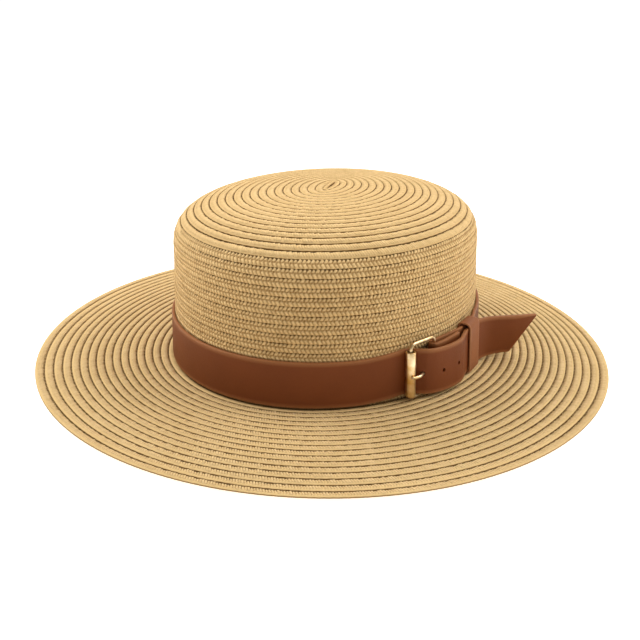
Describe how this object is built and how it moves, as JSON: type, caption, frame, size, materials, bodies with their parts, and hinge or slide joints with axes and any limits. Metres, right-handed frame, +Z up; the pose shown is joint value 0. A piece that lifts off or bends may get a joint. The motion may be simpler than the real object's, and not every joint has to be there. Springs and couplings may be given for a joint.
{
  "type": "sun hat",
  "caption": "Sewn straw sun hat with an oval crown, a wide flat brim and a leather belt fastened by a roller buckle.",
  "frame": {"origin": "on the surface that the hat rests on, under the middle of its brim", "axes": "+Z up through the crown, -Y the hat's front, +X the wearer's left, where the buckle and the belt's tail are"},
  "size_m": [0.3246, 0.3534, 0.0944],
  "materials": {
    "crown_straw": "matt sewn paper straw braid",
    "brim_straw": "matt sewn paper straw braid",
    "band_leather": "smooth, half matt brown",
    "keeper_leather": "smooth, half matt brown",
    "frame_brass": "satin",
    "roller_brass": "satin",
    "prong_brass": "satin"
  },
  "bodies": {
    "root": {"crown": "crown_straw", "brim": "brim_straw", "band": "band_leather", "keeper_loop": "keeper_leather", "buckle_frame": "frame_brass", "roller": "roller_brass", "prong": "prong_brass"}
  },
  "joints": []
}
